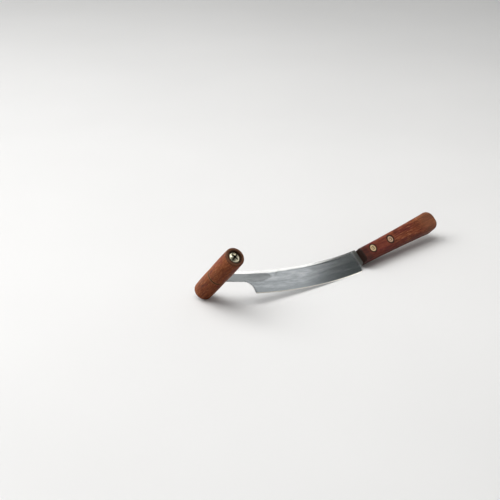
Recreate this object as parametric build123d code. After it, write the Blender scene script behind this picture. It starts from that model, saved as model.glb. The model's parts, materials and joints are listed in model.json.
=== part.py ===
from build123d import *
import math
import os

# Two-handled curved cheese knife, lying on its side as it rests on a board.
# Lengths are millimetres and angles are degrees.
#
# Every piece is first made in the knife frame: the origin is the middle of the hole in the blade's neck,
# X runs back along the blade, Y points to the spine, and Z is the axis of the grip screw, towards its head.
# The finished pieces are then laid down together on the floor, Z up.

# ---------------------------------------------------------------- driving dimensions

# blade: one curved steel plate, the spine concave and the edge convex about one centre
stock_thickness = 2.0
spine_radius = 503.0
blade_width = 28.5
spine_low_station = 113.6
toe_station = 39.9
heel_station = 194.7
heel_hollow = 1.6

# neck: the narrow front end that carries the cross grip
neck_width = 13.2
neck_end = 8.0
neck_corner_radius = 5.0
hole_to_spine = 6.1
cutout_radius = 12.0

# flat grind on each side of the blade, with its curved run-out at the neck
grind_angle = 1.1
grind_taper_angle = 0.08
grind_step = 0.07
grind_reference_station = 80.0
grind_line_radius = 42.0
grind_line_station = 50.5
grind_line_drop = 0.9
grind_runout_angle = 4.0
grind_start = 4.0
ricasso_length = 4.0

# bevels along the spine and along the cutting edge
spine_bevel_angle = 10.0
spine_land = 0.62
edge_bevel_angle = 15.0
edge_land = 0.2

# tang: the hidden strip of the blade inside the rear handle
tang_width = 12.0
tang_length = 62.0
tang_end_radius = 4.0
tang_root = 3.0
blade_root_drop = 8.2

# rear handle: one piece of wood, slotted for the tang
handle_station = 199.4
handle_front_depth = 10.9
handle_angle = 13.4
handle_length = 137.5
handle_front_width = 18.5
handle_rear_width = 26.4
handle_waist = 0.7
handle_thickness = 22.2
handle_edge_radius = 5.0
handle_front_round = 1.6
butt_corner_radius = 10.5
butt_dome = 2.2
slot_clearance = 0.05

# cutler's rivets: a post in a tubular socket
rivet_stations = (17.7, 49.9)
rivet_height = 1.05
rivet_head_diameter = 9.5
rivet_head_thickness = 1.4
rivet_head_sink = 0.15
rivet_tube_diameter = 5.5
rivet_post_diameter = 3.6
rivet_tube_overrun = 2.0
rivet_fit = 0.02
rivet_end_gap = 0.3
rivet_rim_chamfer = 0.25
rivet_post_round = 0.3

# cross grip: two turned wooden barrels, one on each side of the neck
barrel_joint_diameter = 23.2
upper_barrel_length = 46.8
upper_end_diameter = 22.8
upper_rim_radius = 1.6
lower_barrel_length = 42.0
lower_end_diameter = 22.4
lower_rim_radius = 2.8
barrel_bulge = 0.35
barrel_joint_chamfer = 0.3
neck_side_clearance = 0.05

# pan-head machine screw with a cross recess, its washer and the insert that it draws up on
screw_diameter = 6.35
screw_head_diameter = 12.5
screw_head_height = 4.4
screw_head_crown = 1.3
screw_head_rim_radius = 0.6
screw_head_sink = 0.1
screw_point_chamfer = 0.8
neck_hole_clearance = 0.05
barrel_hole_clearance = 0.25
recess_width = 7.4
recess_wing = 1.4
recess_depth = 2.8
recess_taper = 8.0
recess_core_diameter = 3.6
recess_core_extra = 0.6
recess_turn = 37.0
counterbore_diameter = 14.8
washer_diameter = 14.2
washer_thickness = 1.2
washer_hole_clearance = 0.2
insert_diameter = 9.0
insert_length = 16.0
insert_fit = 0.02
insert_sink = 0.5
screw_overrun = 2.0
blind_hole_extra = 2.0

# ---------------------------------------------------------------- derived places

half_stock = stock_thickness / 2
neck_radius = spine_radius + neck_width
edge_radius = spine_radius + blade_width
hole_radius = spine_radius + hole_to_spine
arc_centre = Vector(spine_low_station, math.sqrt(hole_radius**2 - spine_low_station**2))
joint_height = half_stock + neck_side_clearance


def on_arc(radius, station):
    """Point at an X station on the blade's circle of a given radius."""
    return Vector(station, arc_centre.Y - math.sqrt(radius**2 - (station - arc_centre.X) ** 2))


handle_front = on_arc(spine_radius + handle_front_depth, handle_station)
handle_along = Vector(math.cos(math.radians(handle_angle)), math.sin(math.radians(handle_angle)))
handle_across = Vector(-handle_along.Y, handle_along.X)
handle_plane = Plane(origin=handle_front, x_dir=handle_along, z_dir=(0, 0, 1))
rivet_places = [handle_plane * Pos(station, rivet_height) for station in rivet_stations]


def spine_at_handle():
    """Point where the spine's arc meets the flat front end of the rear handle."""
    to_centre = handle_front - arc_centre
    half_b = to_centre.dot(handle_across)
    rise = -half_b - math.sqrt(half_b**2 - (to_centre.dot(to_centre) - spine_radius**2))
    return handle_front + handle_across * rise


# ---------------------------------------------------------------- blade


def arc_between(radius, start_station, end_station):
    """Part of one of the blade's concentric circles, between two X stations."""
    middle_station = (start_station + end_station) / 2
    return ThreePointArc(
        on_arc(radius, start_station), on_arc(radius, middle_station), on_arc(radius, end_station)
    )


def blade_outline():
    """Flat outline of the blade and its neck, up to the front end of the rear handle."""
    root_top = spine_at_handle()
    root_bottom = handle_front - handle_across * blade_root_drop
    outline = make_face(
        [
            Line(on_arc(spine_radius, -neck_end), on_arc(neck_radius, -neck_end)),
            arc_between(neck_radius, -neck_end, toe_station),
            Line(on_arc(neck_radius, toe_station), on_arc(edge_radius, toe_station)),
            arc_between(edge_radius, toe_station, heel_station),
            SagittaArc(on_arc(edge_radius, heel_station), root_bottom, heel_hollow),
            Line(root_bottom, root_top),
            arc_between(spine_radius, root_top.X, -neck_end),
        ]
    )
    cutout_corner = outline.vertices().sort_by_distance(on_arc(neck_radius, toe_station))[0]
    outline = fillet(cutout_corner, min(cutout_radius, 0.85 * (blade_width - neck_width)))
    neck_corners = outline.vertices().sort_by(Axis.X)[:2]
    return fillet(neck_corners, min(neck_corner_radius, 0.4 * neck_width))


def tang():
    """Strip of full stock thickness inside the rear handle, rooted in the blade ahead of it."""
    strip = Rectangle(tang_length + tang_root, tang_width, align=(Align.MIN, Align.CENTER))
    strip = Pos(-tang_root, rivet_height) * strip
    strip = fillet(strip.vertices().sort_by(Axis.X)[-2:], min(tang_end_radius, 0.4 * tang_width))
    return handle_plane * extrude(strip, half_stock, both=True)


def grind_cutter():
    """Waste above the flat-ground face on the screw's side: the plane tilts down to the edge and the rear."""
    size = 2 * (handle_station + blade_width)
    spine = on_arc(spine_radius, grind_reference_station)
    face = Pos(spine.X, spine.Y, half_stock - grind_step) * Rot(grind_angle, grind_taper_angle, 0)
    waste = face * Box(size, size, stock_thickness, align=(Align.CENTER, Align.CENTER, Align.MIN))
    line_low = on_arc(neck_radius + grind_line_drop, grind_line_station)
    spread = half_stock / math.tan(math.radians(grind_runout_angle))
    runout = Cone(
        grind_line_radius + spread,
        grind_line_radius - spread,
        2 * half_stock,
        align=(Align.CENTER, Align.CENTER, Align.MIN),
    )
    stock_left = Pos(line_low.X, line_low.Y + grind_line_radius) * runout
    ramp = Pos(toe_station - grind_start, 0, half_stock) * Rot(0, grind_runout_angle, 0)
    stock_left += ramp * Box(size, size, size, align=(Align.CENTER, Align.CENTER, Align.MAX))
    ricasso = Box(size, size, 2 * stock_thickness, align=(Align.MIN, Align.CENTER, Align.CENTER))
    waste -= handle_plane * Pos(-ricasso_length, 0) * ricasso
    return waste - stock_left


def bevel_ring(radius, land, angle, outward):
    """Ring of waste above a conical bevel that rises from a land on one of the blade's circles."""
    slope = math.tan(math.radians(angle))
    inner = radius + outward * half_stock / slope
    margin = 1.0
    outer = radius - outward * margin
    low = land / 2 - margin * slope
    high = land / 2 + half_stock
    profile = Polyline((outer, low), (inner, high), (outer, high), close=True)
    section = Plane(origin=arc_centre, x_dir=(1, 0, 0), z_dir=(0, -1, 0)) * make_face(profile)
    return revolve(section, Axis(arc_centre, (0, 0, 1)))


def make_blade():
    """Curved blade: ground on both sides, bevelled along spine and edge, drilled in neck and tang."""
    blade = extrude(blade_outline(), half_stock, both=True)
    waste = [
        grind_cutter(),
        bevel_ring(spine_radius, spine_land, spine_bevel_angle, 1),
        bevel_ring(edge_radius, edge_land, edge_bevel_angle, -1),
    ]
    for cutter in waste:
        blade -= cutter
        blade -= mirror(cutter, about=Plane.XY)
    blade += tang()
    blade -= Cylinder(screw_diameter / 2 + neck_hole_clearance, 2 * stock_thickness)
    for place in rivet_places:
        blade -= place * Cylinder(rivet_tube_diameter / 2 + rivet_fit, 2 * stock_thickness)
    return blade


# ---------------------------------------------------------------- rear handle and its rivets


def handle_half_width(station):
    """Half of the handle's width at a distance from its front end: a taper with a slight waist."""
    share = station / handle_length
    taper = handle_front_width + (handle_rear_width - handle_front_width) * share
    return taper / 2 - 4 * handle_waist * share * (1 - share)


def handle_body():
    """Solid wood of the handle before it is slotted and drilled, in the handle's own plane."""
    front = handle_half_width(0)
    middle = handle_half_width(handle_length / 2)
    rear = handle_half_width(handle_length)
    corner = handle_length - butt_dome
    side = make_face(
        [
            Line((0, front), (0, -front)),
            ThreePointArc((0, -front), (handle_length / 2, -middle), (corner, -rear)),
            ThreePointArc((corner, -rear), (handle_length, 0), (corner, rear)),
            ThreePointArc((corner, rear), (handle_length / 2, middle), (0, front)),
        ]
    )
    side = fillet(side.vertices().sort_by(Axis.X)[-2:], butt_corner_radius)
    body = extrude(side, handle_thickness / 2, both=True)
    front_face = body.faces().sort_by(Axis.X)[0]
    long_edges = body.edges() - body.edges().filter_by(Axis.Z) - front_face.edges()
    long_edges = long_edges.filter_by(lambda edge: abs(edge.center().Z) > handle_thickness / 4)
    return fillet(long_edges, handle_edge_radius)


def front_rim_waste():
    """Waste around the handle's front end: what a rounding of its rim takes away, in four facets."""
    facets = 4
    turns = [math.pi / 2 * step / facets for step in range(facets + 1)]
    depths = [handle_front_round * (1 - math.cos(turn)) for turn in turns]
    insets = [handle_front_round * (1 - math.sin(turn)) for turn in turns]
    depths[-1] += depths[-1] - depths[-2]
    insets[-1] -= insets[-2]
    sections = []
    for depth, inset in zip(depths, insets):
        section = RectangleRounded(
            handle_thickness - 2 * inset, handle_front_width - 2 * inset, handle_edge_radius - inset
        )
        sections.append(Plane.YZ.rotated((90, 0, 0)).offset(depth) * section)
    block = Box(
        depths[-1],
        2 * handle_front_width,
        2 * handle_thickness,
        align=(Align.MIN, Align.CENTER, Align.CENTER),
    )
    return block - loft(sections, ruled=True)


def tang_slot():
    """Blind slot for the tang, open at the handle's front end."""
    slot = Box(
        tang_length + 2 * slot_clearance,
        tang_width + 2 * slot_clearance,
        stock_thickness + 2 * slot_clearance,
        align=(Align.MIN, Align.CENTER, Align.CENTER),
    )
    return Pos(0, rivet_height) * slot


def rivet_bore():
    """Through hole for a rivet's tube with a counterbore for each head, about the blade's middle plane."""
    tube = Cylinder(rivet_tube_diameter / 2 + rivet_fit, handle_thickness)
    seat_depth = rivet_head_thickness + rivet_head_sink
    seat = Cylinder(
        rivet_head_diameter / 2 + rivet_fit, seat_depth, align=(Align.CENTER, Align.CENTER, Align.MAX)
    )
    upper_seat = Pos(0, 0, handle_thickness / 2) * seat
    return tube + upper_seat + mirror(upper_seat, about=Plane.XY)


def make_rear_handle():
    """One-piece handle with the slot for the tang and the bores for the rivets."""
    handle = handle_plane * (handle_body() - front_rim_waste() - tang_slot())
    for place in rivet_places:
        handle -= place * rivet_bore()
    return handle


rivet_head_top = handle_thickness / 2 - rivet_head_sink


def rivet_socket():
    """Tubular half with the head that shows: its bore goes right through, so the post's end is seen."""
    head = Cylinder(
        rivet_head_diameter / 2, rivet_head_thickness, align=(Align.CENTER, Align.CENTER, Align.MAX)
    )
    tube_length = rivet_head_top - rivet_head_thickness + half_stock + rivet_tube_overrun
    tube = Cylinder(
        rivet_tube_diameter / 2, tube_length, align=(Align.CENTER, Align.CENTER, Align.MAX)
    )
    socket = Pos(0, 0, rivet_head_top) * head
    socket += Pos(0, 0, rivet_head_top - rivet_head_thickness) * tube
    bore = Cylinder(rivet_post_diameter / 2 + rivet_fit, 2 * handle_thickness)
    socket -= bore
    rims = socket.faces().sort_by(Axis.Z)[-1].edges()
    return chamfer(rims, rivet_rim_chamfer)


def rivet_post():
    """Solid half: a head on the far side and a post that is pressed up through the socket."""
    head = Cylinder(
        rivet_head_diameter / 2, rivet_head_thickness, align=(Align.CENTER, Align.CENTER, Align.MIN)
    )
    post_length = 2 * rivet_head_top - rivet_head_thickness - rivet_end_gap
    post = Cylinder(
        rivet_post_diameter / 2, post_length, align=(Align.CENTER, Align.CENTER, Align.MIN)
    )
    rivet = Pos(0, 0, -rivet_head_top) * head
    rivet += Pos(0, 0, rivet_head_thickness - rivet_head_top) * post
    rivet = chamfer(rivet.faces().sort_by(Axis.Z)[0].edges(), rivet_rim_chamfer)
    return fillet(rivet.faces().sort_by(Axis.Z)[-1].edges(), rivet_post_round)


# ---------------------------------------------------------------- cross grip

counterbore_depth = washer_thickness + screw_head_height + screw_head_sink
insert_top = -joint_height - insert_sink
screw_tip = insert_top - insert_length - screw_overrun
washer_seat = joint_height + upper_barrel_length - counterbore_depth


def turned_barrel(length, end_diameter, rim_radius):
    """Solid barrel that stands on the joint face at Z = 0 and tapers to its rounded outer end."""
    joint = barrel_joint_diameter / 2
    end = end_diameter / 2
    middle = (joint + end) / 2 + barrel_bulge
    profile = make_face(
        [
            Line((0, 0), (joint, 0)),
            ThreePointArc((joint, 0), (middle, length / 2), (end, length)),
            Line((end, length), (0, length)),
            Line((0, length), (0, 0)),
        ]
    )
    barrel = revolve(Plane.XZ * profile, Axis.Z)
    barrel = fillet(barrel.faces().sort_by(Axis.Z)[-1].edges(), rim_radius)
    return chamfer(barrel.faces().sort_by(Axis.Z)[0].edges(), barrel_joint_chamfer)


def make_upper_grip_barrel():
    """Barrel on the screw's side: a clearance hole and a counterbore for the washer and the head."""
    barrel = turned_barrel(upper_barrel_length, upper_end_diameter, upper_rim_radius)
    barrel -= Cylinder(screw_diameter / 2 + barrel_hole_clearance, 3 * upper_barrel_length)
    counterbore = Cylinder(
        counterbore_diameter / 2, counterbore_depth, align=(Align.CENTER, Align.CENTER, Align.MAX)
    )
    barrel -= Pos(0, 0, upper_barrel_length) * counterbore
    return Pos(0, 0, joint_height) * barrel


def make_lower_grip_barrel():
    """Barrel on the far side: a blind hole with a wider seat for the threaded insert."""
    barrel = turned_barrel(lower_barrel_length, lower_end_diameter, lower_rim_radius)
    barrel = Pos(0, 0, -joint_height) * mirror(barrel, about=Plane.XY)
    seat_depth = insert_sink + insert_length
    hole_depth = seat_depth + screw_overrun + blind_hole_extra
    for diameter, depth in (
        (insert_diameter, seat_depth),
        (screw_diameter + 2 * barrel_hole_clearance, hole_depth),
    ):
        hole = Cylinder(diameter / 2, depth, align=(Align.CENTER, Align.CENTER, Align.MAX))
        barrel -= Pos(0, 0, -joint_height) * hole
    return barrel


def cross_recess():
    """Four tapered wings and a conical core, cut down from the top of the screw's head."""
    wing = Rectangle(recess_width, recess_wing)
    cross = wing + Rot(0, 0, 90) * wing
    wings = extrude(Plane.XY.rotated((180, 0, 0)) * cross, recess_depth, taper=recess_taper)
    core = Cone(
        recess_core_diameter / 4,
        recess_core_diameter / 2,
        recess_depth + recess_core_extra,
        align=(Align.CENTER, Align.CENTER, Align.MAX),
    )
    return Rot(0, 0, recess_turn) * (wings + core)


def make_grip_screw():
    """Pan-head screw from the washer down through the neck and into the insert."""
    head_radius = screw_head_diameter / 2
    side_height = screw_head_height - screw_head_crown
    crown_radius = (head_radius**2 + screw_head_crown**2) / (2 * screw_head_crown)
    crown_drop = crown_radius - math.sqrt(crown_radius**2 - head_radius**2 / 4)
    profile = make_face(
        [
            Line((0, 0), (head_radius, 0)),
            Line((head_radius, 0), (head_radius, side_height)),
            ThreePointArc(
                (head_radius, side_height),
                (head_radius / 2, screw_head_height - crown_drop),
                (0, screw_head_height),
            ),
            Line((0, screw_head_height), (0, 0)),
        ]
    )
    rim = profile.vertices().sort_by_distance((head_radius, side_height))[0]
    head = revolve(Plane.XZ * fillet(rim, screw_head_rim_radius), Axis.Z)
    head -= Pos(0, 0, screw_head_height) * cross_recess()
    under_head = washer_seat + washer_thickness
    root = side_height / 3
    shank = Cylinder(
        screw_diameter / 2, under_head - screw_tip + root, align=(Align.CENTER, Align.CENTER, Align.MAX)
    )
    shank = chamfer(shank.faces().sort_by(Axis.Z)[0].edges(), screw_point_chamfer)
    return Pos(0, 0, under_head) * (head + Pos(0, 0, root) * shank)


def make_screw_washer():
    """Plain washer at the bottom of the counterbore."""
    washer = Cylinder(
        washer_diameter / 2, washer_thickness, align=(Align.CENTER, Align.CENTER, Align.MIN)
    )
    washer -= Cylinder(screw_diameter / 2 + washer_hole_clearance, 3 * washer_thickness)
    return Pos(0, 0, washer_seat) * washer


def make_grip_insert():
    """Threaded insert in the lower barrel, its thread as a plain bore on the screw's size."""
    insert = Cylinder(
        insert_diameter / 2 - insert_fit, insert_length, align=(Align.CENTER, Align.CENTER, Align.MAX)
    )
    insert -= Cylinder(screw_diameter / 2 + insert_fit, 3 * insert_length)
    return Pos(0, 0, insert_top) * insert


# ---------------------------------------------------------------- lying on the floor


def grip_reach(down):
    """How far the rounded rim of the lower barrel reaches along a direction."""
    taper = (barrel_joint_diameter - lower_end_diameter) / 2
    wall_lean = math.atan2(taper + 4 * barrel_bulge, lower_barrel_length)
    rim_height = joint_height + lower_barrel_length - lower_rim_radius
    rim_circle = lower_end_diameter / 2 + lower_rim_radius * (math.tan(wall_lean) - 1 / math.cos(wall_lean))
    return -down.Z * rim_height + math.hypot(down.X, down.Y) * rim_circle + lower_rim_radius


def edge_reach(down):
    """How far the cutting edge reaches along a direction."""
    flat = math.hypot(down.X, down.Y)
    station = arc_centre.X + edge_radius * down.X / flat
    station = min(max(station, toe_station), heel_station)
    return on_arc(edge_radius, station).dot(down) + abs(down.Z) * edge_land / 2


def handle_reach(down):
    """How far the rear handle reaches along a direction, from its round-cornered sections."""
    steps = 200
    straight = handle_length - butt_corner_radius - handle_front_round
    reaches = []
    for step in range(steps):
        station = handle_front_round + straight * step / steps
        centre = handle_front + handle_along * station
        wide = (handle_half_width(station) - handle_edge_radius) * abs(down.dot(handle_across))
        thick = (handle_thickness / 2 - handle_edge_radius) * abs(down.Z)
        reaches.append(centre.dot(down) + wide + thick + handle_edge_radius)
    return max(reaches)


def tilted(lean, pitch):
    """Unit vector that points down to the floor for two angles of the knife, in radians."""
    return Vector(math.sin(pitch), -math.cos(pitch) * math.sin(lean), -math.cos(pitch) * math.cos(lean))


def misfit(lean, pitch):
    """How unequal the three reaches are: both are zero when grip, edge and handle all touch the floor."""
    down = tilted(lean, pitch)
    reach = edge_reach(down)
    return grip_reach(down) - reach, handle_reach(down) - reach


def lying_direction():
    """Direction of the floor's pull in the knife frame, found by Newton's method."""
    first_lean, first_pitch = 42.0, 6.0
    lean = math.radians(first_lean)
    pitch = math.radians(first_pitch)
    nudge = 1e-5
    steps = 12
    for _ in range(steps):
        grip, handle = misfit(lean, pitch)
        grip_lean, handle_lean = misfit(lean + nudge, pitch)
        grip_pitch, handle_pitch = misfit(lean, pitch + nudge)
        a = (grip_lean - grip) / nudge
        b = (grip_pitch - grip) / nudge
        c = (handle_lean - handle) / nudge
        d = (handle_pitch - handle) / nudge
        determinant = a * d - b * c
        lean -= (grip * d - handle * b) / determinant
        pitch -= (handle * a - grip * c) / determinant
    return tilted(lean, pitch)


def floor_plane():
    """The floor in the knife frame: Z points up from it and X follows the knife's length."""
    down = lying_direction()
    up = down * -1
    along = Vector(1, 0, 0) - up * up.X
    return Plane(origin=down * edge_reach(down), x_dir=along, z_dir=up)


# ---------------------------------------------------------------- assembly


def make_pieces():
    """All pieces by node name, in the knife frame."""
    pieces = {
        "blade": make_blade(),
        "rear_handle": make_rear_handle(),
        "upper_grip_barrel": make_upper_grip_barrel(),
        "lower_grip_barrel": make_lower_grip_barrel(),
        "grip_screw": make_grip_screw(),
        "screw_washer": make_screw_washer(),
        "grip_insert": make_grip_insert(),
    }
    for name, place in zip(("front", "rear"), rivet_places):
        pieces[name + "_rivet_socket"] = place * rivet_socket()
        pieces[name + "_rivet_post"] = place * rivet_post()
    return pieces


def lay_down(pieces):
    """Pieces lying on the floor, with the origin under the middle of their box."""
    floor = floor_plane()
    lying = {name: floor.to_local_coords(piece) for name, piece in pieces.items()}
    box = Compound(list(lying.values())).bounding_box()
    centre = Pos(-box.center().X, -box.center().Y, 0)
    return {name: centre * piece for name, piece in lying.items()}


if __name__ == "__main__":
    os.makedirs("parts", exist_ok=True)
    for node, solid in lay_down(make_pieces()).items():
        export_step(solid, "parts/" + node + ".step")
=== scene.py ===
"""Looks of a two-handled curved cheese knife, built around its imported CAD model.

Each sub-assembly is a class that holds its sizes in millimetres and dresses its pieces; each finish is a
frozen dataclass that builds one procedural material. The model's own frame is in metres.
"""

from __future__ import annotations

import json
import logging
import math
from collections.abc import Mapping, Sequence
from dataclasses import dataclass
from enum import IntEnum
from typing import Any

import bmesh
import bpy
from mathutils import Matrix, Vector


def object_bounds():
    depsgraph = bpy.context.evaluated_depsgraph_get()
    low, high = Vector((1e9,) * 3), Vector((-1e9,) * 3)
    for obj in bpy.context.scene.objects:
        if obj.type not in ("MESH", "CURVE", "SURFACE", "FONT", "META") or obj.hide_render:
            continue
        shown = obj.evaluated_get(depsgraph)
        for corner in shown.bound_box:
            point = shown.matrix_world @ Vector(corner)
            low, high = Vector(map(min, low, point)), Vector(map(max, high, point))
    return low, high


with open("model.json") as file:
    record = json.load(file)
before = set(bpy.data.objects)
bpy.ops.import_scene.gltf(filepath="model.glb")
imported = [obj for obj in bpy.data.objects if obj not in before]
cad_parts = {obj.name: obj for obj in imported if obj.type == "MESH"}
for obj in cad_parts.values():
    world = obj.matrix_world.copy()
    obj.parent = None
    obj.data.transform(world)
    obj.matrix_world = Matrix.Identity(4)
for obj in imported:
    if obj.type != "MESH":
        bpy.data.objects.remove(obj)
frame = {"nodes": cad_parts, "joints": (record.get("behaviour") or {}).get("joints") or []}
cad_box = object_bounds()

log = logging.getLogger("knife")

Colour = tuple[float, float, float, float]
Stops = tuple[tuple[float, str], ...]
Socket = bpy.types.NodeSocket
Tree = bpy.types.NodeTree

MM = 0.001
# Nearly all of a noise lies between these two values.
NOISE_LOW = 0.3
NOISE_HIGH = 0.7
# Multiplied by this, a point keeps only its place square to a frame's third axis.
IN_PLANE = (1, 1, 0)


# -------------------- nodes and colours


def linear(code: str) -> Colour:
    """Turns an sRGB colour into the linear one that shaders take.

    Args:
        code: The colour as "#rrggbb".

    Returns:
        The linear red, green and blue, with an alpha of one.
    """
    channels = [int(code[start : start + 2], 16) / 255 for start in (1, 3, 5)]
    red, green, blue = (
        value / 12.92 if value <= 0.04045 else ((value + 0.055) / 1.055) ** 2.4 for value in channels
    )
    return red, green, blue, 1.0


def add_node(
    tree: Tree,
    kind: str,
    inputs: Mapping[int | str, Any] | None = None,
    stops: Stops = (),
    **settings: Any,
) -> bpy.types.Node:
    """Adds one node with its settings and links.

    Args:
        tree: The node tree that gets the node.
        kind: The node's type name, without its "ShaderNode" start.
        inputs: What each input socket takes: another node's output, or a plain value.
        stops: Places and sRGB colours along a colour ramp.
        settings: The node's own properties.

    Returns:
        The new node.
    """
    node = tree.nodes.new("ShaderNode" + kind)
    for name, value in settings.items():
        setattr(node, name, value)
    for key, value in (inputs or {}).items():
        if isinstance(value, Socket):
            tree.links.new(value, node.inputs[key])
        else:
            node.inputs[key].default_value = value
    for index, (place, code) in enumerate(stops):
        elements = node.color_ramp.elements
        element = elements[index] if index < 2 else elements.new(place)
        element.position = place
        element.color = linear(code)
    return node


class MixPort(IntEnum):
    """Input sockets of a Mix node: its factor, and what it blends as numbers or as colours."""

    FACTOR = 0
    BASE_NUMBER = 2
    OVER_NUMBER = 3
    BASE = 6
    OVER = 7


class MixResult(IntEnum):
    """Output sockets of a Mix node."""

    NUMBER = 0
    COLOUR = 2


def start_material(name: str) -> tuple[bpy.types.Material, Tree, bpy.types.Node]:
    """Makes a material that holds only its shader and its output.

    Args:
        name: The material's name, after what the real one is.

    Returns:
        The material, its node tree and its shader node.
    """
    material = bpy.data.materials.new(name)
    material.use_nodes = True
    tree = material.node_tree
    tree.nodes.clear()
    shader = add_node(tree, "BsdfPrincipled")
    add_node(tree, "OutputMaterial", {"Surface": shader.outputs["BSDF"]})
    return material, tree, shader


def drawn_noise(tree: Tree, place: Socket, length: float, width: float, **inputs: float) -> Socket:
    """Adds a noise that is drawn out along its frame's first axis.

    Args:
        tree: The material's node tree.
        place: The point in the pattern's frame, in millimetres.
        length: Size of the noise's features along the first axis, in millimetres.
        width: Their size across it, in millimetres.
        inputs: Other values of the noise, by their sockets' names.

    Returns:
        The noise, about 0.5 on average.
    """
    drawn = add_node(tree, "Mapping", {"Vector": place, "Scale": (1 / length, 1 / width, 1 / width)})
    cloud = add_node(tree, "TexNoise", {"Vector": drawn.outputs[0], "Scale": 1.0, **inputs})
    return cloud.outputs[0]


@dataclass(frozen=True)
class Tint:
    """A colour that comes over another one as some measure goes from its start value to its full value.

    Its strength is a socket where it changes over the surface.
    """

    colour: str
    start: float
    full: float
    strength: float | Socket = 1.0

    def over(self, tree: Tree, colour: Socket, measure: Socket) -> Socket:
        """Adds the nodes that lay the tint over a colour.

        Args:
            tree: The material's node tree.
            colour: The colour so far.
            measure: What decides how much of the tint comes.

        Returns:
            The tinted colour.
        """
        share = add_node(
            tree,
            "MapRange",
            {"Value": measure, "From Min": self.start, "From Max": self.full, "To Max": self.strength},
            interpolation_type="SMOOTHSTEP",
        )
        mixed = add_node(
            tree,
            "Mix",
            {MixPort.FACTOR: share.outputs[0], MixPort.BASE: colour, MixPort.OVER: linear(self.colour)},
            data_type="RGBA",
        )
        return mixed.outputs[MixResult.COLOUR]


@dataclass(frozen=True)
class Axes:
    """A piece's own frame, in which its patterns are laid out."""

    origin: Vector
    along: Vector
    across: Vector

    def basis(self) -> Matrix:
        """Rotation from the model's directions to this frame's."""
        return Matrix((self.along, self.across, self.along.cross(self.across)))

    def shifted(self, x: float, y: float, turn: float = 0.0) -> Axes:
        """Makes another frame, placed and turned within this one.

        Args:
            x: Shift along this frame, in millimetres.
            y: Shift across this frame, in millimetres.
            turn: Turn about this frame's normal, in degrees.

        Returns:
            The new frame.
        """
        back = self.basis().transposed()
        spin = Matrix.Rotation(math.radians(turn), 3, "Z")
        return Axes(
            self.origin + back @ Vector((x, y, 0)) * MM,
            back @ spin @ Vector((1, 0, 0)),
            back @ spin @ Vector((0, 1, 0)),
        )

    def coordinates(self, tree: Tree) -> Socket:
        """Adds the nodes that give a surface point in this frame, in millimetres.

        Args:
            tree: The material's node tree.

        Returns:
            The socket with the point.
        """
        basis = self.basis()
        texture = add_node(tree, "TexCoord")
        turned = add_node(
            tree,
            "Mapping",
            {
                "Vector": texture.outputs["Object"],
                "Location": basis @ self.origin / -MM,
                "Rotation": basis.to_euler(),
                "Scale": (1 / MM, 1 / MM, 1 / MM),
            },
        )
        return turned.outputs["Vector"]


# -------------------- finishes


@dataclass(frozen=True)
class OnBlade:
    """Sockets that say where a surface point lies on the curved blade, in millimetres.

    The inward vector points from it to the centre of the blade's circles, and the radius is that vector's
    length. The advance is the way along the spine from its lowest point, forwards. The unrolled place holds
    the advance and the radius.
    """

    place: Socket
    inward: Socket
    radius: Socket
    advance: Socket
    unrolled: Socket

    @classmethod
    def locate(cls, tree: Tree, place: Socket, sizes: Blade) -> OnBlade:
        """Adds the nodes that find a point on the blade.

        Args:
            tree: The material's node tree.
            place: The point in the knife's frame.
            sizes: The blade's sizes.

        Returns:
            The sockets.
        """
        centre = sizes.arc_centre()
        to_centre = add_node(tree, "VectorMath", {0: (centre.x, centre.y, 0), 1: place}, operation="SUBTRACT")
        flat = add_node(tree, "VectorMath", {0: to_centre.outputs[0], 1: IN_PLANE}, operation="MULTIPLY")
        inward = flat.outputs[0]
        radius = add_node(tree, "VectorMath", {0: inward}, operation="LENGTH").outputs["Value"]
        split = add_node(tree, "SeparateXYZ", {0: inward})
        angle = add_node(tree, "Math", {0: split.outputs["X"], 1: split.outputs["Y"]}, operation="ARCTAN2")
        way = add_node(tree, "Math", {0: angle.outputs[0], 1: sizes.spine_radius}, operation="MULTIPLY")
        advance = way.outputs[0]
        unrolled = add_node(tree, "CombineXYZ", {"X": advance, "Y": radius, "Z": 0.0})
        return cls(place, inward, radius, advance, unrolled.outputs[0])


@dataclass(frozen=True)
class Fade:
    """How far before a line a finish begins, and how far behind it is full, in millimetres."""

    before: float
    behind: float


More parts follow.
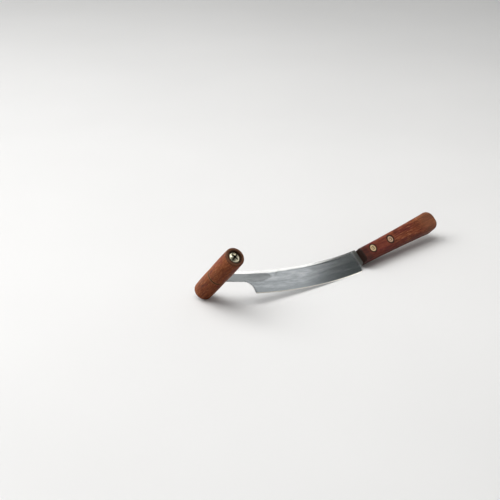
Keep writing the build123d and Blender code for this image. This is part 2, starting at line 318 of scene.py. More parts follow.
@dataclass(frozen=True)
class GroundSteel:
    """Hardened knife steel, belt-ground lengthwise and rubbed down to a satin.

    The grinding leaves fine scratches that follow the blade's curve, so its reflections draw out along it.
    The neck was never ground: it keeps a duller rolled surface. The bevel along the spine is drawn narrower
    towards the handle by a painted dark reflection on its outer strip; near the handle a dull film of old oil
    lies on the steel.
    """

    ground: Stops = ((0.25, "#a8adb0"), (0.62, "#d0d3d6"))
    rolled: Stops = ((0.62, "#94989a"), (0.92, "#b0b4b6"))
    honed: str = "#e2ded6"
    # Whetting has dulled the side near the edge, over this part of the blade's width.
    whetted: float = 0.3
    whetted_from: float = 0.4
    whetted_to: float = 0.9
    # Painted reflection: the bevel's outer strip is painted as dark as the side's reflection, to look
    # narrower.
    painted_side_reflection: str = "#5c6264"
    painted_side_reflection_strength: float = 0.85
    # The film's start and its full strength are this far in front of the handle.
    film: str = "#656764"
    film_start: float = 9.0
    film_full: float = 3.8
    film_roughness: float = 0.36
    film_metallic: float = 0.2
    roughness: float = 0.11
    roughness_spread: float = 0.05
    rolled_roughness: float = 0.28
    # The scratches spread a reflection across themselves and leave it sharp along the blade.
    spread: float = 0.8
    # Real scratches are about 0.1 mm apart; they are drawn ten times as coarse so that they show.
    scratch_spacing: float = 1.0
    scratch_length: float = 45.0
    scratch_depth: float = 0.003
    blotch_length: float = 10.0
    blotch_width: float = 2.2
    blotch_strength: float = 0.55
    wave_spacing: float = 9.0
    wave_length: float = 70.0
    wave_depth: float = 0.05
    honed_fade: Fade = Fade(0.2, 0.1)
    runout_fade: Fade = Fade(1.0, 1.2)
    rubbed_fade: Fade = Fade(0.3, 0.7)
    narrow_fade: Fade = Fade(0.5, 0.5)
    wide_fade: Fade = Fade(0.3, 0.3)

    def ground_colour(self, tree: Tree, spot: OnBlade, sizes: Blade, mottled: Socket) -> Socket:
        """Adds the colour of the ground side and of its honed edge.

        Args:
            tree: The material's node tree.
            spot: Where the point lies on the blade.
            sizes: The blade's sizes.
            mottled: The pattern of waves and blotches.

        Returns:
            The colour.
        """
        whetted = add_node(
            tree,
            "MapRange",
            {
                "Value": spot.radius,
                "From Min": sizes.spine_radius + self.whetted_from * sizes.width,
                "From Max": sizes.spine_radius + self.whetted_to * sizes.width,
                "To Min": self.blotch_strength / 2,
                "To Max": self.blotch_strength / 2 + self.whetted,
            },
        )
        shine = add_node(tree, "Math", {0: mottled, 1: whetted.outputs[0]}, operation="SUBTRACT")
        satin = add_node(tree, "ValToRGB", {"Fac": shine.outputs[0]}, stops=self.ground)
        edge_bevel = sizes.spine_radius + sizes.width - sizes.edge_bevel_width
        on_edge = add_node(
            tree,
            "MapRange",
            {
                "Value": spot.radius,
                "From Min": edge_bevel - self.honed_fade.before,
                "From Max": edge_bevel + self.honed_fade.behind,
            },
        )
        side = add_node(
            tree,
            "Mix",
            {
                MixPort.FACTOR: on_edge.outputs[0],
                MixPort.BASE: satin.outputs["Color"],
                MixPort.OVER: linear(self.honed),
            },
            data_type="RGBA",
        )
        return side.outputs[MixResult.COLOUR]

    def rolled_share(self, tree: Tree, spot: OnBlade, sizes: Blade) -> Socket:
        """Finds the rolled neck and its tongue behind it, without the strip rubbed bright along the spine.

        Args:
            tree: The material's node tree.
            spot: Where the point lies on the blade.
            sizes: The blade's sizes.

        Returns:
            One on the rolled part and zero off it.
        """
        centre = sizes.grind_runout_centre()
        from_centre = add_node(
            tree, "VectorMath", {0: spot.place, 1: (centre.x, centre.y, 0)}, operation="SUBTRACT"
        )
        flat = add_node(tree, "VectorMath", {0: from_centre.outputs[0], 1: IN_PLANE}, operation="MULTIPLY")
        distance = add_node(tree, "VectorMath", {0: flat.outputs[0]}, operation="LENGTH")
        grind_start = sizes.advance_at(sizes.grind_start_station)
        line, fade = sizes.grind_line_radius, self.runout_fade
        tongue, neck = (
            add_node(
                tree,
                "MapRange",
                {"Value": value, "From Min": start, "From Max": full},
                interpolation_type="SMOOTHSTEP",
            )
            for value, start, full in (
                (distance.outputs["Value"], line + fade.before, line - fade.behind),
                (spot.advance, grind_start - fade.before, grind_start + fade.behind),
            )
        )
        unground = add_node(tree, "Math", {0: tongue.outputs[0], 1: neck.outputs[0]}, operation="MAXIMUM")
        rubbed = add_node(
            tree,
            "MapRange",
            {
                "Value": spot.advance,
                "From Min": sizes.advance_at(sizes.rubbed_station),
                "From Max": sizes.advance_at(sizes.tongue_station),
                "To Min": sizes.spine_radius + sizes.spine_bevel_width,
                "To Max": sizes.spine_radius + sizes.tongue_depth,
            },
            interpolation_type="SMOOTHSTEP",
        )
        past_rubbed = add_node(tree, "Math", {0: spot.radius, 1: rubbed.outputs[0]}, operation="SUBTRACT")
        below_rubbed = add_node(
            tree,
            "MapRange",
            {
                "Value": past_rubbed.outputs[0],
                "From Min": -self.rubbed_fade.before,
                "From Max": self.rubbed_fade.behind,
            },
            interpolation_type="SMOOTHSTEP",
        )
        rolled = add_node(
            tree, "Math", {0: unground.outputs[0], 1: below_rubbed.outputs[0]}, operation="MULTIPLY"
        )
        return rolled.outputs[0]

    def painted_side_reflection_share(self, tree: Tree, spot: OnBlade, sizes: Blade) -> Socket:
        """Finds the bevel's outer strip, which gets a painted dark reflection so the bevel looks narrower.

        Args:
            tree: The material's node tree.
            spot: Where the point lies on the blade.
            sizes: The blade's sizes.

        Returns:
            How strong the painted reflection is, and zero off it.
        """
        wide = sizes.spine_radius + sizes.spine_bevel_width
        narrowing = add_node(
            tree,
            "MapRange",
            {
                "Value": spot.advance,
                "From Min": sizes.advance_at(sizes.bevel_taper_start),
                "From Max": sizes.advance_at(sizes.bevel_taper_end),
                "To Min": wide,
                "To Max": sizes.spine_radius + sizes.narrow_bevel_width,
            },
        )
        past_bevel = add_node(tree, "Math", {0: spot.radius, 1: narrowing.outputs[0]}, operation="SUBTRACT")
        below_narrow = add_node(
            tree,
            "MapRange",
            {
                "Value": past_bevel.outputs[0],
                "From Min": -self.narrow_fade.before,
                "From Max": self.narrow_fade.behind,
            },
            interpolation_type="SMOOTHSTEP",
        )
        fading = add_node(
            tree,
            "MapRange",
            {
                "Value": spot.advance,
                "From Min": sizes.advance_at(sizes.bevel_fade_start),
                "From Max": sizes.advance_at(sizes.bevel_fade_end),
                "To Min": self.painted_side_reflection_strength,
                "To Max": 0.0,
            },
        )
        above_wide = add_node(
            tree,
            "MapRange",
            {
                "Value": spot.radius,
                "From Min": wide + self.wide_fade.before,
                "From Max": wide - self.wide_fade.behind,
                "To Max": fading.outputs[0],
            },
            interpolation_type="SMOOTHSTEP",
        )
        strip = add_node(
            tree, "Math", {0: below_narrow.outputs[0], 1: above_wide.outputs[0]}, operation="MULTIPLY"
        )
        return strip.outputs[0]

    def film_share(self, tree: Tree, axes: Axes, sizes: Blade) -> Socket:
        """Finds the film of oil in front of the handle.

        Args:
            tree: The material's node tree.
            axes: The knife's frame.
            sizes: The blade's sizes.

        Returns:
            One under the film and zero off it.
        """
        behind = add_node(tree, "SeparateXYZ", {0: sizes.handle_axes(axes).coordinates(tree)})
        film = add_node(
            tree,
            "MapRange",
            {"Value": behind.outputs["X"], "From Min": -self.film_start, "From Max": -self.film_full},
            interpolation_type="SMOOTHSTEP",
        )
        return film.outputs[0]

    def build(self, axes: Axes, sizes: Blade) -> bpy.types.Material:
        """Builds the blade's material.

        Args:
            axes: The knife's frame.
            sizes: The blade's sizes.

        Returns:
            The material.
        """
        material, tree, shader = start_material("satin_ground_knife_steel")
        spot = OnBlade.locate(tree, axes.coordinates(tree), sizes)
        scratches = drawn_noise(
            tree, spot.unrolled, self.scratch_length, self.scratch_spacing, Detail=5.0, Roughness=0.7
        )
        waves = drawn_noise(
            tree, spot.unrolled, self.wave_length, self.wave_spacing, Detail=3.0, Distortion=0.8
        )
        blotches = drawn_noise(tree, spot.unrolled, self.blotch_length, self.blotch_width, Detail=3.0)
        mottled = add_node(
            tree, "Math", {0: blotches, 1: self.blotch_strength, 2: waves}, operation="MULTIPLY_ADD"
        )
        rolled = add_node(tree, "ValToRGB", {"Fac": mottled.outputs[0]}, stops=self.rolled)
        rolled_share = self.rolled_share(tree, spot, sizes)
        painted_side_reflection_share = self.painted_side_reflection_share(tree, spot, sizes)
        film_share = self.film_share(tree, axes, sizes)

        colour = self.ground_colour(tree, spot, sizes, mottled.outputs[0])
        # The rolled neck, the painted dark reflection on the spine's bevel and the film go over the side in
        # turn.
        for share, over in (
            (rolled_share, rolled.outputs["Color"]),
            (painted_side_reflection_share, linear(self.painted_side_reflection)),
            (film_share, linear(self.film)),
        ):
            ports = {MixPort.FACTOR: share, MixPort.BASE: colour, MixPort.OVER: over}
            colour = add_node(tree, "Mix", ports, data_type="RGBA").outputs[MixResult.COLOUR]
        tree.links.new(colour, shader.inputs["Base Color"])

        worn = add_node(
            tree,
            "MapRange",
            {
                "Value": scratches,
                "From Min": NOISE_LOW,
                "From Max": NOISE_HIGH,
                "To Min": self.roughness,
                "To Max": self.roughness + self.roughness_spread,
            },
        )
        roughness = worn.outputs[0]
        for share, over in ((rolled_share, self.rolled_roughness), (film_share, self.film_roughness)):
            ports = {MixPort.FACTOR: share, MixPort.BASE_NUMBER: roughness, MixPort.OVER_NUMBER: over}
            roughness = add_node(tree, "Mix", ports, data_type="FLOAT").outputs[MixResult.NUMBER]
        tree.links.new(roughness, shader.inputs["Roughness"])
        bare = add_node(tree, "MapRange", {"Value": film_share, "To Min": 1.0, "To Max": self.film_metallic})
        tree.links.new(bare.outputs[0], shader.inputs["Metallic"])

        relief = add_node(tree, "Bump", {"Height": waves, "Distance": self.wave_depth * MM, "Strength": 1.0})
        bump = add_node(
            tree,
            "Bump",
            {
                "Height": scratches,
                "Distance": self.scratch_depth * MM,
                "Strength": 1.0,
                "Normal": relief.outputs[0],
            },
        )
        tree.links.new(bump.outputs["Normal"], shader.inputs["Normal"])
        across = add_node(
            tree,
            "Mapping",
            {"Vector": spot.inward, "Rotation": axes.basis().transposed().to_euler()},
            vector_type="VECTOR",
        )
        tree.links.new(across.outputs[0], shader.inputs["Tangent"])
        shader.inputs["Anisotropic"].default_value = self.spread
        return material


@dataclass(frozen=True)
class Band:
    """A strip right round a piece of wood, measured along its grain. Some are stains, wear and sun-fading;
    others are painted shade and a painted highlight.
    """

    place: float
    half_width: float
    fade: float
    colour: str
    strength: float


@dataclass(frozen=True)
class StainAndShade:
    """Oil and dirt round a metal fitting, and painted shade in a counterbore, measured from its axis."""

    axes: Axes
    radius: float
    fade: float
    strength: float = 0.85


@dataclass(frozen=True)
class OiledRosewood:
    """Reddish rosewood, sanded across its edges and oiled, with open pores and dark streaks along the grain.

    The oil leaves a soft sheen, and dirt and oil darken the end grain and the wood around each metal fitting;
    a screw's counterbore gets painted shade as well.
    """

    name: str
    streaks: Stops = ((0.28, "#4e2110"), (0.45, "#7a391d"), (0.58, "#89482b"), (0.74, "#a06039"))
    # The heart of the tree is redder and a little purple, and it comes and goes along a board.
    heart: Tint = Tint("#6c2420", start=0.5, full=0.62, strength=0.6)
    heart_length: float = 38.0
    heart_width: float = 13.0
    fibre_dark: Tint = Tint("#35140a", start=0.48, full=0.3, strength=0.75)
    fibre_light: Tint = Tint("#b0704c", start=0.52, full=0.7, strength=0.75)
    fibre_spacing: float = 1.5
    fibre_length: float = 12.0
    # The end grain shows where the surface faces along the grain. It is held back on a turned piece's side,
    # which leans a little, up to a distance from the frame's origin.
    end_grain: Tint = Tint("#4a2d1f", start=0.3, full=0.75, strength=0.92)
    end_beyond: float = -1.0
    end_held_back: float = 0.55
    stain_and_shade: str = "#1f0e07"
    sheen: float = 0.25
    roughness: float = 0.46
    roughness_spread: float = 0.16
    # Streaks run the length of the piece and are a few millimetres apart; pores are short dashes.
    streak_spacing: float = 3.2
    streak_length: float = 60.0
    # Real pores are 0.1 mm wide; they are drawn several times as coarse so that they show.
    pore: Tint = Tint("#2c120b", start=0.4, full=0.3, strength=0.8)
    pore_spacing: float = 0.7
    pore_length: float = 3.5
    pore_depth: float = 0.05

    def end_share(self, tree: Tree, place: Socket, grain: Axes) -> Socket:
        """Measures how far a surface point faces along the grain.

        Args:
            tree: The material's node tree.
            place: The point in the grain's frame.
            grain: The piece's frame.

        Returns:
            The measure, from zero on the sides to one on the ends.
        """
        surface = add_node(tree, "TexCoord")
        facing = add_node(
            tree, "VectorMath", {0: surface.outputs["Normal"], 1: grain.along}, operation="DOT_PRODUCT"
        )
        end_on = add_node(tree, "Math", {0: facing.outputs["Value"]}, operation="ABSOLUTE")
        along = add_node(tree, "SeparateXYZ", {0: place})
        away = add_node(tree, "Math", {0: along.outputs["X"]}, operation="ABSOLUTE")
        inner = add_node(tree, "Math", {0: away.outputs[0], 1: self.end_beyond}, operation="LESS_THAN")
        at_end = add_node(
            tree,
            "Math",
            {0: inner.outputs[0], 1: -self.end_held_back, 2: end_on.outputs[0]},
            operation="MULTIPLY_ADD",
        )
        return at_end.outputs[0]

    def build(
        self, grain: Axes, bands: Sequence[Band] = (), stains_and_shades: Sequence[StainAndShade] = ()
    ) -> bpy.types.Material:
        """Builds the wood around its own grain direction.

        Args:
            grain: The piece's frame; its grain runs along the first axis.
            bands: Strips of another colour across the grain.
            stains_and_shades: Stains round metal fittings, with painted shade in a counterbore.

        Returns:
            The material.
        """
        material, tree, shader = start_material(self.name)
        place = grain.coordinates(tree)
        streak = drawn_noise(
            tree, place, self.streak_length, self.streak_spacing, Detail=4.0, Roughness=0.6, Distortion=0.5
        )
        heart = drawn_noise(tree, place, self.heart_length, self.heart_width, Detail=2.0, Distortion=0.4)
        fibre = drawn_noise(tree, place, self.fibre_length, self.fibre_spacing, Detail=3.0, Roughness=0.6)
        pores = drawn_noise(tree, place, self.pore_length, self.pore_spacing, Detail=2.0)
        colour = add_node(tree, "ValToRGB", {"Fac": streak}, stops=self.streaks).outputs["Color"]
        for tint, measure in (
            (self.heart, heart),
            (self.fibre_dark, fibre),
            (self.fibre_light, fibre),
            (self.pore, pores),
            (self.end_grain, self.end_share(tree, place, grain)),
        ):
            colour = tint.over(tree, colour, measure)
        along = add_node(tree, "SeparateXYZ", {0: place})
        for band in bands:
            off = add_node(tree, "Math", {0: along.outputs["X"], 1: band.place}, operation="SUBTRACT")
            gap = add_node(tree, "Math", {0: off.outputs[0]}, operation="ABSOLUTE")
            tint = Tint(band.colour, band.half_width + band.fade, band.half_width, band.strength)
            colour = tint.over(tree, colour, gap.outputs[0])
        for stain_and_shade in stains_and_shades:
            around = add_node(
                tree, "VectorMath", {0: stain_and_shade.axes.coordinates(tree), 1: IN_PLANE}, operation="MULTIPLY"
            )
            away = add_node(tree, "VectorMath", {0: around.outputs[0]}, operation="LENGTH")
            tint = Tint(self.stain_and_shade, stain_and_shade.radius + stain_and_shade.fade, stain_and_shade.radius, stain_and_shade.strength)
            colour = tint.over(tree, colour, away.outputs["Value"])
        tree.links.new(colour, shader.inputs["Base Color"])

        rough = add_node(
            tree,
            "MapRange",
            {
                "Value": streak,
                "From Min": NOISE_LOW,
                "From Max": NOISE_HIGH,
                "To Min": self.roughness,
                "To Max": self.roughness + self.roughness_spread,
            },
        )
        tree.links.new(rough.outputs[0], shader.inputs["Roughness"])
        shader.inputs["Specular IOR Level"].default_value = self.sheen
        bump = add_node(tree, "Bump", {"Height": pores, "Distance": self.pore_depth * MM, "Strength": 1.0})
        tree.links.new(bump.outputs["Normal"], shader.inputs["Normal"])
        return material


@dataclass(frozen=True)
class RecessDirtAndShade:
    """Dirt packed in a screw's cross recess, with painted shade, and dirt rubbed out past its arms by the
    driver, with painted shade and reflection there too; in millimetres.

    The floor is the recess's deepest height on the screw's axis, and the fade is how far up its walls the
    darkening goes. The turn of the cross about the axis is in degrees. The arms' ends and sides are soft over
    a share of their half-length and half-width.
    """

    floor: float
    turn: float
    fade: float = 1.6
    half_length: float = 4.9
    half_width: float = 0.9
    strength: float = 0.75
    soft_ends: float = 0.1
    soft_sides: float = 0.5

    def over(self, tree: Tree, colour: Socket, place: Socket, dirt: str) -> Socket:
        """Adds the nodes that lay the dirt and painted shade over a colour.

        Args:
            tree: The material's node tree.
            colour: The colour so far.
            place: The point in the screw's frame.
            dirt: The dirt's colour, also used for the painted shade.

        Returns:
            The soiled colour, with its painted shade.
        """
        height = add_node(tree, "SeparateXYZ", {0: place})
        # Painted shade with dirt: darker towards the recess's floor.
        packed = Tint(dirt, self.floor + self.fade, self.floor)
        colour = packed.over(tree, colour, height.outputs["Z"])
        turned = add_node(
            tree,
            "VectorRotate",
            {"Vector": place, "Angle": -math.radians(self.turn)},
            rotation_type="Z_AXIS",
        )
        folded = add_node(tree, "VectorMath", {0: turned.outputs[0]}, operation="ABSOLUTE")
        sides = add_node(tree, "SeparateXYZ", {0: folded.outputs[0]})
        along, beside = (
            add_node(tree, "Math", {0: sides.outputs["X"], 1: sides.outputs["Y"]}, operation=choice)
            for choice in ("MAXIMUM", "MINIMUM")
        )
        within = add_node(
            tree,
            "MapRange",
            {
                "Value": along.outputs[0],
                "From Min": self.half_length * (1 + self.soft_ends),
                "From Max": self.half_length * (1 - self.soft_ends),
                "To Max": self.strength,
            },
            interpolation_type="SMOOTHSTEP",
        )
        # Painted shade and reflection with dirt: a dark cross along the arms, reaching past the recess.
        rubbed = Tint(
            dirt,
            self.half_width * (1 + self.soft_sides),
            self.half_width * (1 - self.soft_sides),
            within.outputs[0],
        )
        return rubbed.over(tree, colour, beside.outputs[0])


@dataclass(frozen=True)
class TurnedMetal:
    """Metal turned on a lathe and worn by use.

    It has fine rings about its axis, is bright where it is rubbed and dirty in its corners, and gets painted
    shade in a screw's recess.
    """

    name: str
    bright: str
    dull: str
    dirt: str
    roughness: float = 0.3
    roughness_spread: float = 0.15
    # A film of old oil makes worn metal a little less of a mirror.
    metallic: float = 1.0
    ring_spacing: float = 0.5
    ring_depth: float = 0.003
    blotch_size: float = 2.2222
    dull_below: float = 0.35
    bright_above: float = 0.6
    # Share of a dirt ring's half-width over which it fades, on each side of its border.
    dirt_fade: float = 0.6

    def build(
        self,
        axes: Axes,
        dirt_rings: Sequence[tuple[float, float]] = (),
        recess: RecessDirtAndShade | None = None,
    ) -> bpy.types.Material:
        """Builds the metal around its turning axis.

        Args:
            axes: The piece's frame; it was turned about the third axis.
            dirt_rings: Circles of dirt about the axis: each one's radius and half-width, in millimetres.
            recess: The dirt and painted shade in and round the cross recess, if the piece has one.

        Returns:
            The material.
        """
        material, tree, shader = start_material(self.name)
        place = axes.coordinates(tree)
        flat = add_node(tree, "VectorMath", {0: place, 1: IN_PLANE}, operation="MULTIPLY")
        radius = add_node(tree, "VectorMath", {0: flat.outputs[0]}, operation="LENGTH").outputs["Value"]
        ring_place = add_node(tree, "Math", {0: radius, 1: 1 / self.ring_spacing}, operation="MULTIPLY")
        rings = add_node(
            tree,
            "TexNoise",
            {"W": ring_place.outputs[0], "Scale": 1.0, "Detail": 3.0},
            noise_dimensions="1D",
        )
        blotches = add_node(
            tree,
            "TexNoise",
            {"Vector": place, "Scale": 1 / self.blotch_size, "Detail": 4.0, "Roughness": 0.65},
        )
        tone = add_node(
            tree,
            "ValToRGB",
            {"Fac": blotches.outputs[0]},
            stops=((self.dull_below, self.dull), (self.bright_above, self.bright)),
        )
        colour = tone.outputs["Color"]
        for middle, half_width in dirt_rings:
            off = add_node(tree, "Math", {0: radius, 1: middle}, operation="SUBTRACT")
            gap = add_node(tree, "Math", {0: off.outputs[0]}, operation="ABSOLUTE")
            ring = Tint(self.dirt, half_width * (1 + self.dirt_fade), half_width * (1 - self.dirt_fade))
            colour = ring.over(tree, colour, gap.outputs[0])
        if recess is not None:
            colour = recess.over(tree, colour, place, self.dirt)
        tree.links.new(colour, shader.inputs["Base Color"])
        rough = add_node(
            tree,
            "MapRange",
            {
                "Value": blotches.outputs[0],
                "From Min": NOISE_LOW,
                "From Max": NOISE_HIGH,
                "To Min": self.roughness + self.roughness_spread,
                "To Max": self.roughness,
            },
        )
        tree.links.new(rough.outputs[0], shader.inputs["Roughness"])
        bump = add_node(
            tree, "Bump", {"Height": rings.outputs[0], "Distance": self.ring_depth * MM, "Strength": 1.0}
        )
        tree.links.new(bump.outputs["Normal"], shader.inputs["Normal"])
        shader.inputs["Metallic"].default_value = self.metallic
        return material


def dress(node: str, material: bpy.types.Material) -> None:
    """Gives a CAD node its material and reports it.

    Args:
        node: The CAD node's name.
        material: The material for all of its faces.
    """
    for slot in frame["nodes"][node].material_slots:
        slot.material = material
    log.info("%s: %s", node, material.name)


# -------------------- the knife's sub-assemblies


@dataclass
class Blade:
    """Curved blade with its neck, ground on both sides.

    Stations are distances behind the grip's axis, and depths are measured from the spine.
    """

    spine_radius: float = 503.0
    spine_low_station: float = 113.6
    hole_to_spine: float = 6.1
    width: float = 28.5
    neck_width: float = 13.2
    spine_bevel_width: float = 3.9
    edge_bevel_width: float = 1.1
    # Painted reflection: the bevel looks narrower between two stations, and fades out between two more.
    narrow_bevel_width: float = 1.3
    bevel_taper_start: float = 112.0
    bevel_taper_end: float = 165.0
    bevel_fade_start: float = 148.0
    bevel_fade_end: float = 186.0
    # The grind runs out on a circle, whose lowest point is a little deeper than the neck is wide.
    grind_start_station: float = 35.9
    grind_line_radius: float = 42.0
    grind_line_station: float = 50.5
    grind_line_drop: float = 0.9
    # The strip rubbed bright along the spine widens from the bevel's width to this depth.
    rubbed_station: float = 62.0
    tongue_station: float = 70.0
    tongue_depth: float = 8.0
    # Where the rear handle starts, and the angle at which it leans, in degrees.
    handle_station: float = 199.4
    handle_front_depth: float = 10.9
    handle_angle: float = 13.4
    steel: GroundSteel = GroundSteel()

    def arc_centre(self) -> Vector:
        """Centre of the blade's circles in the knife's frame, in millimetres."""
        reach = self.spine_radius + self.hole_to_spine
        return Vector((self.spine_low_station, math.sqrt(reach**2 - self.spine_low_station**2)))

    def on_arc(self, radius: float, station: float) -> Vector:
        """Finds a point on one of the blade's circles.

        Args:
            radius: The circle's radius, in millimetres.
            station: The distance behind the grip's axis, in millimetres.

        Returns:
            The point in the knife's frame, in millimetres.
        """
        centre = self.arc_centre()
        return Vector((station, centre.y - math.sqrt(radius**2 - (station - centre.x) ** 2)))

    def advance_at(self, station: float) -> float:
        """Way forwards along the spine from its lowest point to a station, in millimetres."""
        return self.spine_low_station - station

    def grind_runout_centre(self) -> Vector:
        """Finds the centre of the circle that bounds the unground neck.

        Returns:
            The point in the knife's frame, in millimetres.
        """
        low = self.on_arc(self.spine_radius + self.neck_width + self.grind_line_drop, self.grind_line_station)
        return low + Vector((0, self.grind_line_radius))

    def handle_axes(self, knife: Axes) -> Axes:
        """Frame of the rear handle: it starts at the middle of the handle's front end."""
        front = self.on_arc(self.spine_radius + self.handle_front_depth, self.handle_station)
        return knife.shifted(front.x, front.y, turn=self.handle_angle)

    def dress(self, knife: Axes) -> None:
        """Gives the blade its steel."""
        dress("blade", self.steel.build(knife, self))


@dataclass
class RearHandle:
    """One-piece wooden handle with two cutler's rivets, the front one rubbed brighter than the rear one."""

    rivet_stations: tuple[float, float] = (17.7, 49.9)
    rivet_height: float = 1.05
    rivet_head_diameter: float = 9.5
    post_diameter: float = 3.6
    post_dirt: float = 0.4
    rim_dirt: tuple[float, float] = (0.55, 0.85)
    stain_and_shade_width: float = 0.7
    stain_and_shade_fade: float = 1.3
    bands: tuple[Band, ...] = (
        Band(place=30.0, half_width=14.0, fade=20.0, colour="#6c2426", strength=0.45),
        Band(place=126.0, half_width=4.0, fade=24.0, colour="#966846", strength=0.4),
        # Dirt and oil darken the front end, together with painted shade there; darkest on its front face.
        Band(place=-2.0, half_width=9.0, fade=9.0, colour="#2e1216", strength=0.7),
        Band(place=-2.0, half_width=2.3, fade=1.2, colour="#28170f", strength=0.9),
    )
    wood: OiledRosewood = OiledRosewood("oiled_rosewood_handle")
    brass: tuple[TurnedMetal, TurnedMetal] = (
        TurnedMetal("worn_brass_rivet", "#ffe8ba", "#f6cb98", "#33200f", 0.36, metallic=0.85),
        TurnedMetal("tarnished_brass_rivet", "#ffdcba", "#dfb290", "#3a2717", 0.38, metallic=0.85),
    )

    def rivet_axes(self, handle: Axes) -> list[Axes]:
        """Frames of the rivets, each about its own axis."""
        return [handle.shifted(station, self.rivet_height) for station in self.rivet_stations]

    def dress(self, handle: Axes) -> None:
        """Gives the handle its wood and the rivets their brass.

        Args:
            handle: The handle's frame.
        """
        rivets = self.rivet_axes(handle)
        head = self.rivet_head_diameter / 2
        stains_and_shades = [StainAndShade(axes, head + self.stain_and_shade_width, self.stain_and_shade_fade) for axes in rivets]
        dress("rear_handle", self.wood.build(handle, self.bands, stains_and_shades))
        for name, axes, metal, rim in zip(("front", "rear"), rivets, self.brass, self.rim_dirt):
            brass = metal.build(axes, ((self.post_diameter / 2, self.post_dirt), (head, rim)))
            dress(name + "_rivet_socket", brass)
            dress(name + "_rivet_post", brass)


@dataclass
class CrossGrip:
    """Two turned wooden barrels on a pan-head screw, which turn about the blade's neck."""

    joint_height: float = 1.05
    upper_barrel_length: float = 46.8
    counterbore_diameter: float = 14.8
    head_sink: float = 0.1
    recess_depth: float = 2.8
    recess_turn: float = 37.0
    # The oil and dirt round the screw, with painted shade in its counterbore, reach this far past the
    # counterbore.
    stain_and_shade_width: float = 0.5
    stain_and_shade_fade: float = 1.2
    joint: tuple[Band, ...] = (
        # Painted highlight: a pale band on the barrels' rims at the joint; then the dark joint itself.
        Band(place=0.3, half_width=1.5, fade=0.4, colour="#c99a72", strength=0.6),
        Band(place=0.0, half_width=0.95, fade=0.25, colour="#170a05", strength=0.95),
    )
    wood: OiledRosewood = OiledRosewood(
        "oiled_rosewood_grip",
        streaks=((0.3, "#73371e"), (0.46, "#965430"), (0.6, "#a6623d"), (0.74, "#b6764f")),
        heart=Tint("#84382c", start=0.5, full=0.62, strength=0.6),
        heart_length=22.0,
        heart_width=12.0,
        fibre_dark=Tint("#35140a", start=0.48, full=0.3, strength=0.6),
        fibre_light=Tint("#c88e62", start=0.52, full=0.7, strength=0.6),
        fibre_spacing=1.1,
        fibre_length=7.0,
        end_grain=Tint("#573d2d", start=0.1, full=0.45, strength=0.78),
        end_beyond=20.0,
        stain_and_shade="#2a1b10",
        sheen=0.15,
        streak_spacing=5.0,
        streak_length=45.0,
        pore_length=2.2,
    )
    steel: TurnedMetal = TurnedMetal("worn_nickel_plated_screw", "#e8e0c6", "#a09a80", "#2c2618", 0.16)
    brass: TurnedMetal = TurnedMetal("brass_insert", "#d9bd84", "#b8965c", "#4a3420", 0.35)

    def dress(self, knife: Axes) -> None:
        """Gives the barrels their wood and the screw, washer and insert their metal.

        Args:
            knife: The knife's frame.
        """
        grain = Axes(knife.origin, knife.along.cross(knife.across), knife.along)
        bore = self.counterbore_diameter / 2
        # The darkening round the screw is oil and dirt, with painted shade in the counterbore.
        stain_and_shade = StainAndShade(knife, bore + self.stain_and_shade_width, self.stain_and_shade_fade)
        dress("upper_grip_barrel", self.wood.build(grain, self.joint, [stain_and_shade]))
        dress("lower_grip_barrel", self.wood.build(grain, self.joint))
        mouth = self.joint_height + self.upper_barrel_length
        # The recess gets painted shade along with its dirt.
        recess = RecessDirtAndShade(mouth - self.head_sink - self.recess_depth, self.recess_turn)
        dress("grip_screw", self.steel.build(knife, recess=recess))
        dress("screw_washer", self.steel.build(knife))
        dress("grip_insert", self.brass.build(knife))


# -------------------- studio


@dataclass(frozen=True)
class Softbox:
    """One flat soft lamp on a wall of lamps that stands square to a direction from the knife.

    Its glow is how bright its face is, where one looks white. Its borders are distances from the wall's
    middle, in metres.
    """

    name: str
    bearing: float
    height: float
    distance: float
    left: float
    right: float
    bottom: float
    top: float
    glow: float
    colour: str = "#ffffff"

    def place(self, heading: float, target: Vector) -> None:
        """Adds the lamp.

        Args:
            heading: Bearing of the camera's view, in degrees.
            target: The point that the wall faces.
        """
        lamp = bpy.data.lights.new(self.name, "AREA")
        lamp.shape = "RECTANGLE"
        lamp.size = self.right - self.left
        lamp.size_y = self.top - self.bottom
        lamp.energy = self.glow * math.pi * lamp.size * lamp.size_y
        lamp.color = linear(self.colour)[:3]
        bearing = math.radians(heading + self.bearing)
        height = math.radians(self.height)
        away = Vector(
            (
                math.cos(bearing) * math.cos(height),
                math.sin(bearing) * math.cos(height),
                math.sin(height),
            )
        )
        turn = (-away).to_track_quat("-Z", "Y")
        shift = Vector(((self.left + self.right) / 2, (self.bottom + self.top) / 2, 0))
        holder = bpy.data.objects.new(self.name, lamp)
        holder.location = target + away * self.distance + turn @ shift
        holder.rotation_euler = turn.to_euler()
        bpy.context.scene.collection.objects.link(holder)


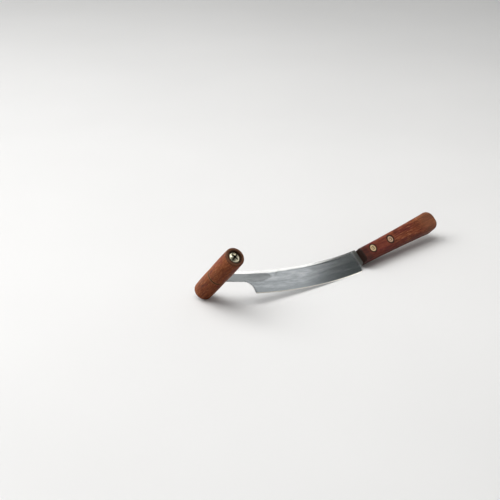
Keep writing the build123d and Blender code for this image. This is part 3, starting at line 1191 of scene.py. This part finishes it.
@dataclass
class Studio:
    """Plain pale floor, soft lamps and the camera, with places in metres and angles in degrees."""

    camera_place: tuple[float, float, float] = (-0.73149, -0.95203, 0.57586)
    camera_heading: float = 57.18
    camera_tilt: float = 24.5
    camera_roll: float = 0.35
    lens: float = 78.68
    floor_reach: float = 4.0
    floor_tones: Stops = ((0.3, "#e6e5e4"), (0.7, "#e9e8e7"))
    # Clouds per metre in the floor's faint mottling.
    floor_mottle: float = 3.0
    floor_roughness: float = 0.7
    # The floor bounces as little light into the undersides as a wooden board would.
    floor_bounce: str = "#74522e"
    backdrop: str = "#e4e4e4"
    backdrop_light: str = "#b0b0b0"
    ceiling: str = "#555856"
    # Heights of their edges, as the sine of the angle above the floor.
    backdrop_top: float = 0.42
    ceiling_bottom: float = 0.56
    softboxes: tuple[Softbox, ...] = (
        Softbox("strip", -80.0, 52.0, 0.9, 0.10, 0.28, -0.012, 0.22, 2.1, "#fffaf3"),
        Softbox("side", -80.0, 52.0, 0.9, -0.30, 0.04, -0.147, 0.15, 0.69),
        Softbox("side_low", -80.0, 52.0, 0.9, -0.30, -0.14, -0.33, -0.147, 0.69),
        Softbox("edge", -94.0, 21.0, 1.2, -0.17, 0.17, -0.07, 0.07, 1.1),
        Softbox("window", 80.0, 48.0, 2.4, -1.03, 1.03, -0.86, 0.86, 3.8),
        Softbox("top", 60.0, 80.0, 2.2, -0.76, 0.76, -0.76, 0.76, 2.3),
        Softbox("front", 165.0, 65.0, 2.4, -0.8, 0.8, -0.8, 0.8, 1.0),
        Softbox("highlight", -124.0, 75.0, 1.6, -0.1, 0.1, -0.1, 0.1, 6.0),
    )

    def add_camera(self) -> None:
        """Adds the camera and makes it the scene's."""
        camera = bpy.data.cameras.new("camera")
        camera.sensor_width = 36.0
        camera.lens = self.lens
        camera.clip_start = 0.01
        holder = bpy.data.objects.new("camera", camera)
        heading = Matrix.Rotation(math.radians(self.camera_heading - 90), 4, "Z")
        tilt = Matrix.Rotation(math.radians(90 - self.camera_tilt), 4, "X")
        roll = Matrix.Rotation(math.radians(-self.camera_roll), 4, "Z")
        holder.matrix_world = Matrix.Translation(self.camera_place) @ heading @ tilt @ roll
        bpy.context.scene.collection.objects.link(holder)
        bpy.context.scene.camera = holder

    def add_floor(self) -> None:
        """Adds the pale matt floor under the knife."""
        material, tree, shader = start_material("matt_white_laminate")
        texture = add_node(tree, "TexCoord")
        mottle = add_node(
            tree, "TexNoise", {"Vector": texture.outputs["Object"], "Scale": self.floor_mottle, "Detail": 2.0}
        )
        pale = add_node(tree, "ValToRGB", {"Fac": mottle.outputs[0]}, stops=self.floor_tones)
        rays = add_node(tree, "LightPath")
        bounce = add_node(
            tree,
            "Mix",
            {
                MixPort.FACTOR: rays.outputs["Is Diffuse Ray"],
                MixPort.BASE: pale.outputs["Color"],
                MixPort.OVER: linear(self.floor_bounce),
            },
            data_type="RGBA",
        )
        tree.links.new(bounce.outputs[MixResult.COLOUR], shader.inputs["Base Color"])
        shader.inputs["Roughness"].default_value = self.floor_roughness
        mesh = bpy.data.meshes.new("floor")
        shape = bmesh.new()
        bmesh.ops.create_grid(shape, x_segments=1, y_segments=1, size=self.floor_reach)
        shape.to_mesh(mesh)
        shape.free()
        mesh.materials.append(material)
        floor = bpy.data.objects.new("floor", mesh)
        bpy.context.scene.collection.objects.link(floor)

    def add_surroundings(self) -> None:
        """Lights the world as a pale backdrop all round under a dim ceiling.

        The backdrop looks pale, in the metal too, but it sheds only the light of a greyer one.
        """
        world = bpy.data.worlds.new("studio_room")
        world.use_nodes = True
        tree = world.node_tree
        tree.nodes.clear()
        direction = add_node(tree, "TexCoord")
        height = add_node(tree, "SeparateXYZ", {0: direction.outputs["Generated"]})
        shed, shown = (
            add_node(
                tree,
                "ValToRGB",
                {"Fac": height.outputs["Z"]},
                stops=((self.backdrop_top, code), (self.ceiling_bottom, self.ceiling)),
            )
            for code in (self.backdrop_light, self.backdrop)
        )
        rays = add_node(tree, "LightPath")
        looking = rays.outputs["Is Camera Ray"]
        for kind in ("Is Glossy Ray", "Is Transmission Ray"):
            either = add_node(tree, "Math", {0: looking, 1: rays.outputs[kind]}, operation="MAXIMUM")
            looking = either.outputs[0]
        seen = add_node(
            tree,
            "Mix",
            {
                MixPort.FACTOR: looking,
                MixPort.BASE: shed.outputs["Color"],
                MixPort.OVER: shown.outputs["Color"],
            },
            data_type="RGBA",
        )
        background = add_node(tree, "Background", {"Color": seen.outputs[MixResult.COLOUR], "Strength": 1.0})
        add_node(tree, "OutputWorld", {"Surface": background.outputs[0]})
        bpy.context.scene.world = world

    def build(self, target: Vector) -> None:
        """Builds the whole studio around the knife.

        Args:
            target: The point that the lamps face.
        """
        bpy.context.scene.view_settings.view_transform = "Standard"
        self.add_camera()
        self.add_floor()
        self.add_surroundings()
        for softbox in self.softboxes:
            softbox.place(self.camera_heading, target)


def knife_axes() -> Axes:
    """Works out the knife's own frame from the joint that its cross grip turns on.

    Returns:
        The frame: its origin is on the screw's axis, and it runs back along the blade.
    """
    hinge = frame["joints"][0]
    normal = Vector(hinge["axis"]).normalized()
    along = Vector((0, 1, 0)).cross(normal).normalized()
    return Axes(Vector(hinge["pos_m"]), along, normal.cross(along))


def main() -> None:
    """Builds the studio and dresses the knife, piece by piece."""
    logging.basicConfig(level=logging.INFO, format="%(name)s: %(message)s")
    knife = knife_axes()
    blade = Blade()
    low, high = cad_box
    Studio().build((Vector(low) + Vector(high)) / 2)
    blade.dress(knife)
    RearHandle().dress(blade.handle_axes(knife))
    CrossGrip().dress(knife)


if __name__ == "__main__":
    main()
